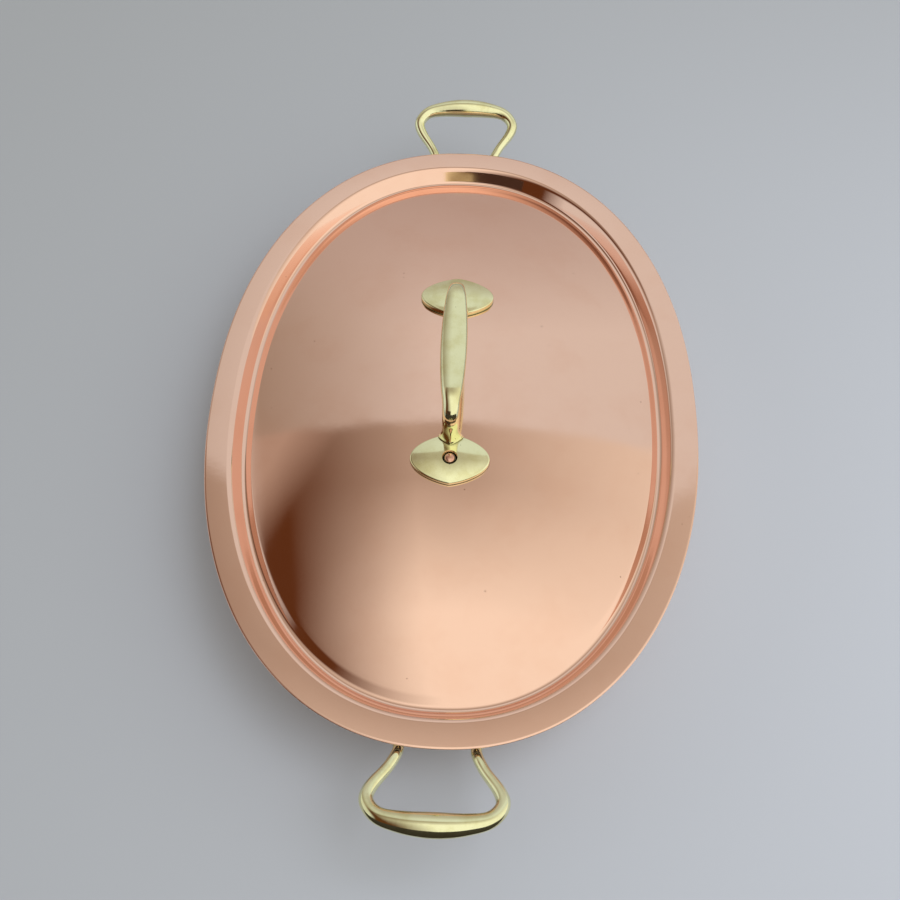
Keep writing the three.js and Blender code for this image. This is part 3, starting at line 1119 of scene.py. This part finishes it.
@dataclass
class LidHandle:
    """The brass bridge handle on the lid, with a lozenge foot and a rivet at each end.

    Its grip tapers by a power of the way out, and its root is a hollow flare over a low ledge.
    """

    lid: Lid
    shift: float = 6.2 * MM
    rivet_spacing: float = 110.5 * MM
    leg_spacing: float = 86 * MM
    height: float = 31 * MM
    grip_width: float = 14.5 * MM
    grip_thickness: float = 8 * MM
    grip_end_width: float = 9.6 * MM
    leg_width: float = 9.2 * MM
    leg_depth: float = 7.5 * MM
    root_width: float = 13.6 * MM
    root_depth: float = 11 * MM
    corner_radius: float = 13 * MM
    taper_end: float = 0.9
    taper_power: float = 2.0
    leg_start: float = 0.7
    grip_section: float = 2.3
    root_section: float = 1.25
    flare_height: float = 9 * MM
    flare_power: float = 2.4
    ledge_share: float = 0.15
    ledge_rise: tuple[float, float] = (0.6 * MM, 1.1 * MM)
    smoothing: float = 1.2 * MM
    bend_points: int = 60
    steps: int = 240
    rivet_seed: float = 3.1
    foot: Plate = Plate(
        width=43 * MM, length=29.2 * MM, powers=(1.35, 2), edge=2.8 * MM, crown=4.4 * MM, depth=4.4 * MM
    )
    rivet: Rivet = Rivet(
        shank=4 * MM,
        head=5.6 * MM,
        head_rise=1.5 * MM,
        tail=9 * MM,
        seat=2.8 * MM,
        grip=(2.8 + 2.2 + 0.24) * MM,
        recess=(2.5 * MM, 12 * MM),
        bore=(-8 * MM, 6 * MM),
        recess_flare=math.radians(30),
    )

    def foot_frame(self, end: int) -> Matrix:
        """The place of one foot, square on the dome at its rivet.

        Args:
            end: -1 for the near foot, 1 for the far one.

        Returns:
            The frame's matrix.
        """
        y = self.shift + end * self.rivet_spacing / 2
        z, tilt = self.lid.dome_at(y)
        return Matrix.Translation((0, y, z)) @ Matrix.Rotation(tilt, 4, "X")

    def centre_line(self) -> np.ndarray:
        """The middle of the bar, up one leg, along the grip and down the other leg.

        Returns:
            Its points, one row each.
        """
        leg, bend = self.leg_spacing / 2, self.corner_radius
        feet = [self.lid.dome_at(self.shift + end * leg)[0] for end in (-1, 1)]
        top = max(feet) + self.foot.edge + self.height - self.grip_thickness / 2
        share = np.linspace(0, 1, self.bend_points)[:, None]
        lines = []
        for end, foot in zip((-1, 1), feet):
            places = ((leg, top - bend), (leg, top), (leg - bend, top))
            a, b, c = (np.array([0, self.shift + end * y, z]) for y, z in places)
            arc = (1 - share) ** 2 * a + 2 * share * (1 - share) * b + share**2 * c
            root = np.array([[0, self.shift + end * leg, foot + self.foot.edge / 2]])
            lines.append(np.vstack([root, arc]))
        return even_line(np.vstack([lines[0], lines[1][::-1]]), self.steps, self.smoothing)

    def bar(self) -> Surface:
        """The grip and its legs.

        Returns:
            The closed surface.
        """
        line = self.centre_line()
        length = float(np.linalg.norm(np.diff(line, axis=0), axis=1).sum())
        away = np.abs(np.linspace(-1, 1, self.steps))
        share = self.leg_spacing / length
        grip = np.minimum(away / (share * self.taper_end), 1) ** self.taper_power
        leg = smoothstep(away, share * self.leg_start, share)
        # Height above the foot: a low step, then a hollow flare up to the leg
        rise = (1 - away) * length / 2 - self.foot.edge
        flare = (1 - np.clip(rise / self.flare_height, 0, 1)) ** self.flare_power
        flare = flare * (1 - self.ledge_share * smoothstep(rise, *self.ledge_rise))
        width = lerp(lerp(self.grip_width, self.grip_end_width, grip), self.leg_width, leg)
        depth = lerp(self.grip_thickness, self.leg_depth, leg)
        width, depth = lerp(width, self.root_width, flare), lerp(depth, self.root_depth, flare)
        # Rounded in the grip, and a diamond with its corners to the front and the sides at the foot
        powers = lerp(self.grip_section, self.root_section, smoothstep(away, share, 1))
        return rod(line, lambda along: np.array([1.0, 0, 0]), np.column_stack([width, depth]) / 2, powers)

    def build(self, brass: bpy.types.Material, copper: bpy.types.Material) -> None:
        """Makes the casting and its rivets.

        Args:
            brass: finish of the casting.
            copper: finish of the rivets.
        """
        casting = self.bar()
        for end in (-1, 1):
            frame = self.foot_frame(end)
            foot = self.foot.surface().moved(frame)
            under = self.lid.height_at(foot.points[:, :2]) + self.lid.pan.seat_gap
            foot.points[:, 2] = np.maximum(foot.points[:, 2], under)
            casting = combined(casting, foot, "UNION")
            casting = self.rivet.holed(casting, frame)
        place_piece("lid_handle_casting", casting, brass, Body.LID, "lid_handle")
        for end, where in ((-1, "front"), (1, "rear")):
            surface = self.rivet.surface(self.rivet_seed * end).moved(self.foot_frame(end))
            name = f"lid_handle_rivet_{where}"
            place_piece(name, surface, copper, Body.LID, f"lid_rivet_{where}")


@dataclass
class Bails:
    """The brass loop handles at the pan's ends, each with two pads of two rivets.

    Root points are shares of the pad's length and crown. Leg points are shares of the way from neck
    to corner and of the reach. Bar points are shares of the corner's distance from the middle and
    of the reach. Guide is a direction that is nowhere along the bar.
    """

    pan: Pan
    lid: Lid
    reach: float = 38 * MM
    slope: float = math.radians(22.5)
    width: float = 70.7 * MM
    neck_spacing: float = 38.2 * MM
    neck_drop: float = 7 * MM
    bar_thickness: float = 11.5 * MM
    corner_thickness: float = 7 * MM
    leg_thickness: float = 5.6 * MM
    root_thickness: float = 9 * MM
    pad_drop: float = 21 * MM
    rivet_spacing: float = 18 * MM
    root_points: tuple[tuple[float, float], ...] = ((0, 1 / 3), (1 / 5, 1.3))
    leg_points: tuple[tuple[float, float], ...] = ((0, 0), (0.28, 0.22), (0.9, 0.54), (1, 0.7))
    bar_points: tuple[tuple[float, float], ...] = ((0.83, 0.89), (0.5, 0.97))
    bar_end: float = 0.42
    leg_span: tuple[float, float] = (0.4, 0.66)
    root_start: float = 0.84
    guide: tuple[float, float, float] = (0, 0.2, 1)
    smoothing: float = 1.5 * MM
    steps: int = 260
    rivet_seed: float = 2.3
    bearings: int = 2000
    ends: tuple[tuple[str, float], ...] = (("rear", 0.0), ("front", math.pi))
    pad: Plate = Plate(
        width=29 * MM, length=17 * MM, powers=(2.2, 2.2), edge=2.2 * MM, crown=4.2 * MM, depth=4.2 * MM
    )
    rivet: Rivet = Rivet(
        shank=4 * MM,
        head=6.6 * MM,
        head_rise=1.4 * MM,
        tail=9 * MM,
        seat=2.9 * MM,
        grip=(2.9 + 3.0 + 0.3) * MM,
        recess=(2.6 * MM, 9 * MM),
        bore=(-6 * MM, 6 * MM),
    )

    def wall_frame(self, across: float, side: int) -> Matrix:
        """A place on the pan's outer face at the +Y end, Z square out of the wall, X level.

        Args:
            across: distance from the long axis.
            side: 1 or -1.

        Returns:
            The frame's matrix.
        """
        height = self.lid.brim_top - self.pad_drop
        radius = self.pan.radius(height)
        angles = np.linspace(0, math.pi / 2, self.bearings)
        ring = self.pan.oval.ring(math.pi - angles, radius, self.pan.core)
        angle = float(np.interp(across, ring[:, 0], angles))
        at = np.array([math.pi - side * angle])
        point = self.pan.oval.ring(at, radius, self.pan.core)[0]
        _, out = self.pan.oval.edge(at)
        level = Vector((-out[0][1], out[0][0], 0))
        normal = Vector((*out[0] * math.cos(self.pan.taper), -math.sin(self.pan.taper)))
        up = normal.cross(level)
        frame = Matrix((level, up, normal)).transposed().to_4x4()
        frame.translation = Vector((*point, height))
        return frame

    def centre_line(self) -> np.ndarray:
        """The middle of the bar: pad, neck under the brim, splayed leg, corner, bar and back.

        Returns:
            Its points, one row each.
        """
        neck, corner = self.neck_spacing / 2, (self.width - self.corner_thickness) / 2
        edge = self.pan.oval.length / 2
        pad = self.wall_frame(neck, 1)

        def on_loop(x: float, s: float) -> np.ndarray:
            """A point of the loop's own sloping plane, s out from the brim's edge."""
            z = self.lid.brim_top - self.neck_drop + s * math.sin(self.slope)
            return np.array([x, edge + s * math.cos(self.slope), z])

        root = [Vector((0, self.pad.length * y, self.pad.crown * z)) for y, z in self.root_points]
        half = [
            *[np.array(pad @ place) for place in root],
            *[on_loop(lerp(neck, corner, out), self.reach * far) for out, far in self.leg_points],
            *[on_loop(corner * out, self.reach * far) for out, far in self.bar_points],
        ]
        mirrored = [p * np.array([-1, 1, 1]) for p in half[::-1]]
        return even_line(spline([*half, on_loop(0, self.reach), *mirrored]), self.steps, self.smoothing)

    def bar(self) -> Surface:
        """The loop, round all along, thick in the middle and slim in the legs.

        Returns:
            The closed surface.
        """
        away = np.abs(np.linspace(-1, 1, self.steps))
        bar, leg = smoothstep(away, 0, self.bar_end), smoothstep(away, *self.leg_span)
        thick = lerp(lerp(self.bar_thickness, self.corner_thickness, bar), self.leg_thickness, leg)
        thick = lerp(thick, self.root_thickness, smoothstep(away, self.root_start, 1))
        halves = np.column_stack([thick, thick]) / 2
        return rod(
            self.centre_line(), lambda along: np.cross(self.guide, along), halves, np.full(self.steps, 2.0)
        )

    def seated(self, pad: Surface) -> Surface:
        """The pad with its back laid along the pan's wall.

        Args:
            pad: the pad, in its place.

        Returns:
            The same surface, changed.
        """
        points = pad.points
        for _ in range(2):
            radius = self.pan.oval.radius_at(points[:, :2], self.pan.core)
            limit = self.pan.radius(points[:, 2]) + self.pan.seat_gap / math.cos(self.pan.taper)
            points[:, 1] += np.clip(limit - radius, 0, None)
        return pad

    def build(self, brass: bpy.types.Material, copper: bpy.types.Material) -> None:
        """Makes one casting with its rivets, for both ends.

        Args:
            brass: finish of the castings.
            copper: finish of the rivets.
        """
        casting = self.bar()
        for side in (1, -1):
            pad = self.seated(self.pad.surface().moved(self.wall_frame(self.neck_spacing / 2, side)))
            casting = combined(casting, pad, "UNION")
        frames = [
            self.wall_frame((self.neck_spacing + step * self.rivet_spacing) / 2, side)
            for side in (1, -1)
            for step in (-1, 1)
        ]
        for frame in frames:
            casting = self.rivet.holed(casting, frame)
        for where, turn in self.ends:
            end = Matrix.Rotation(turn, 4, "Z")
            node = f"{where}_bail"
            place_piece(f"{node}_casting", casting.moved(end), brass, Body.PAN, node)
            for i, frame in enumerate(frames, 1):
                surface = self.rivet.surface(i * self.rivet_seed + turn).moved(end @ frame)
                rivet = f"{node}_rivet_{i}"
                place_piece(f"{rivet}_head", surface, copper, Body.PAN, rivet)


@dataclass(frozen=True)
class Card:
    """A card that only mirrors show, and that gives round metal a dark band along its near side.

    Foot and top are its lower and upper edges as (y, z), and sides its left and right ends as x.
    """

    name: str
    colour: str
    foot: tuple[float, float]
    top: tuple[float, float]
    sides: tuple[float, float]


@dataclass
class Studio:
    """Plain pale table, a soft lamp, even light from all round and the camera.

    Each blend runs between two places of a direction's x (to the right) or y (to the far side).
    The strip and the patch lean, so theirs run along x with a share of y added.
    """

    table_colour: str = "#BBC0CA"
    far_colour: str = "#DCE0DE"
    far_left_colour: str = "#A29A8E"
    far_low_colour: str = "#B9B4B0"
    overhead_near_colour: str = "#FFFFF3"
    overhead_far_colour: str = "#B5ADA0"
    strip_colour: str = "#5C381F"
    beyond_colour: str = "#B3A598"
    far_left_blend: tuple[float, float] = (-0.75, -0.1)
    far_low_blend: tuple[float, float] = (0.68, 0.95)
    overhead_blend: tuple[float, float] = (0.29, -0.08)
    overhead_right_blend: tuple[float, float] = (0.0, 1.2)
    strip_blend: tuple[float, float] = (-0.62, -0.1)
    strip_lean: float = 0.2
    patch_blend: tuple[float, float] = (-0.88, -1.06)
    patch_lean: float = -0.9
    edge_blend: tuple[float, float] = (0.44, 0.455)
    beyond_blend: tuple[float, float] = (-0.88, -0.74)
    paint_roughness: float = 0.85
    cards: tuple[Card, ...] = (
        Card("near_card", "#37312A", foot=(-0.29, 0.0), top=(-0.42, 0.17), sides=(-0.35, 0.35)),
        Card("far_card", "#5A4030", foot=(-3.0, 0.0), top=(-3.0, 1.65), sides=(-2.2, -0.1)),
    )
    table_size: float = 12.0
    lens: float = 38.0
    sensor: float = 36.0
    clip: tuple[float, float] = (0.01, 50)
    eye: tuple[float, float, float] = (9.9 * MM, -295.3 * MM, 525.9 * MM)
    pitch: float = math.radians(60.64)
    yaw: float = math.radians(-2.28)
    roll: float = math.radians(0.08)
    lamp_at: tuple[float, float, float] = (0.62, -0.25, 1.3)
    lamp_size: float = 0.8
    lamp_colour: str = "#F6F8FF"
    lamp_power: float = 3.4
    lamp_spread: float = math.radians(95)

    def panel(self, name: str, corners: Sequence[Sequence[float]], colour: str) -> bpy.types.Object:
        """A flat matt surface of the studio.

        Args:
            name: its name.
            corners: its corners, in order.
            colour: its paint.

        Returns:
            The object.
        """
        mesh = bpy.data.meshes.new(name)
        mesh.from_pydata(corners, [], [tuple(range(len(corners)))])
        paint = bpy.data.materials.new(f"matt_paint_of_{name}")
        tree = cleared_tree(paint)
        inputs = {"Base Color": linear(colour), "Roughness": self.paint_roughness}
        shader = add_node(tree, "ShaderNodeBsdfPrincipled", inputs).outputs["BSDF"]
        add_node(tree, "ShaderNodeOutputMaterial", {"Surface": shader})
        mesh.materials.append(paint)
        panel = in_scene(name, mesh)
        return panel

    def stand(self, card: Card) -> None:
        """Puts up one card.

        Args:
            card: the card.
        """
        left, right = card.sides
        edges = [(left, *card.foot), (right, *card.foot), (right, *card.top), (left, *card.top)]
        panel = self.panel(card.name, edges, card.colour)
        panel.visible_camera = panel.visible_diffuse = panel.visible_shadow = False

    def lamp(self) -> None:
        """A soft lamp over the right side of the table, which makes that side the brighter one."""
        light = bpy.data.lights.new("right_lamp", "AREA")
        light.shape, light.size, light.size_y = "RECTANGLE", self.lamp_size, self.lamp_size
        light.color = linear(self.lamp_colour)[:3]
        light.energy, light.spread = self.lamp_power, self.lamp_spread
        lamp = in_scene("right_lamp", light)
        lamp.location = self.lamp_at
        lamp.visible_camera = lamp.visible_glossy = False

    def surroundings(self) -> None:
        """Even light from all round.

        From the far side it is a neutral grey that ends at a straight edge overhead, and from that
        edge to the near side it gets brighter. On the left both are dimmer and warmer, with a dark
        brown strip that leans over toward the far side, and pale again beyond it.
        """
        world = bpy.data.worlds.new("studio_room")
        tree = cleared_tree(world)
        place = add_node(tree, "ShaderNodeTexCoord").outputs["Generated"]
        way = add_node(tree, "ShaderNodeSeparateXYZ", {"Vector": place})
        x, y = way.outputs["X"], way.outputs["Y"]
        lean = calculated(tree, "MULTIPLY_ADD", y, self.strip_lean, x)
        patch = calculated(tree, "MULTIPLY_ADD", y, self.patch_lean, x)
        pale, near = linear(self.far_colour), linear(self.overhead_near_colour)
        strip, beyond = linear(self.strip_colour), linear(self.beyond_colour)
        far = mixed(tree, mapped(tree, x, self.far_left_blend), linear(self.far_left_colour), pale)
        far = mixed(tree, mapped(tree, y, self.far_low_blend), far, linear(self.far_low_colour))
        overhead = mixed(tree, mapped(tree, y, self.overhead_blend), linear(self.overhead_far_colour), near)
        overhead = mixed(tree, mapped(tree, x, self.overhead_right_blend), overhead, near)
        overhead = mixed(tree, mapped(tree, lean, self.strip_blend), strip, overhead)
        overhead = mixed(tree, mapped(tree, patch, self.patch_blend), overhead, beyond)
        light = mixed(tree, mapped(tree, y, self.edge_blend), overhead, far)
        light = mixed(tree, mapped(tree, x, self.beyond_blend), pale, light)
        even = add_node(tree, "ShaderNodeBackground", {"Color": light, "Strength": 1.0})
        add_node(tree, "ShaderNodeOutputWorld", {"Surface": even.outputs["Background"]})
        bpy.context.scene.world = world

    def camera(self) -> None:
        """The camera, where the photograph was taken from."""
        view = bpy.data.cameras.new("camera")
        view.lens, view.sensor_width = self.lens, self.sensor
        view.clip_start, view.clip_end = self.clip
        ahead = Vector(
            (
                math.sin(self.yaw) * math.cos(self.pitch),
                math.cos(self.yaw) * math.cos(self.pitch),
                -math.sin(self.pitch),
            )
        )
        right = Vector((math.cos(self.yaw), -math.sin(self.yaw), 0))
        up = right.cross(ahead)
        c, s = math.cos(self.roll), math.sin(self.roll)
        frame = Matrix((c * right + s * up, c * up - s * right, -ahead)).transposed().to_4x4()
        frame.translation = Vector(self.eye)
        camera = in_scene("camera", view)
        camera.matrix_world = frame
        bpy.context.scene.camera = camera

    def build(self) -> None:
        """Sets up the whole studio."""
        half = self.table_size / 2
        corners = [(-half, -half, 0), (half, -half, 0), (half, half, 0), (-half, half, 0)]
        self.panel("table", corners, self.table_colour)
        for card in self.cards:
            self.stand(card)
        self.surroundings()
        self.lamp()
        self.camera()
        bpy.context.scene.view_settings.view_transform = "Standard"


def main() -> None:
    """Builds the sub-assemblies in order."""
    logging.basicConfig(level=logging.INFO, format="%(name)s: %(message)s")
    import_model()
    copper, hammered = POLISHED_COPPER.material(), HAMMERED_COPPER.material()
    brass, tin = BUFFED_BRASS.material(), WIPED_TIN.material()
    oval = Oval()
    pan = Pan(oval)
    pan.build(copper, tin)
    lid = Lid(oval, pan)
    lid.build(copper, tin)
    LidHandle(lid).build(brass, hammered)
    Bails(pan, lid).build(brass, hammered)
    Studio().build()


if __name__ == "__main__":
    main()
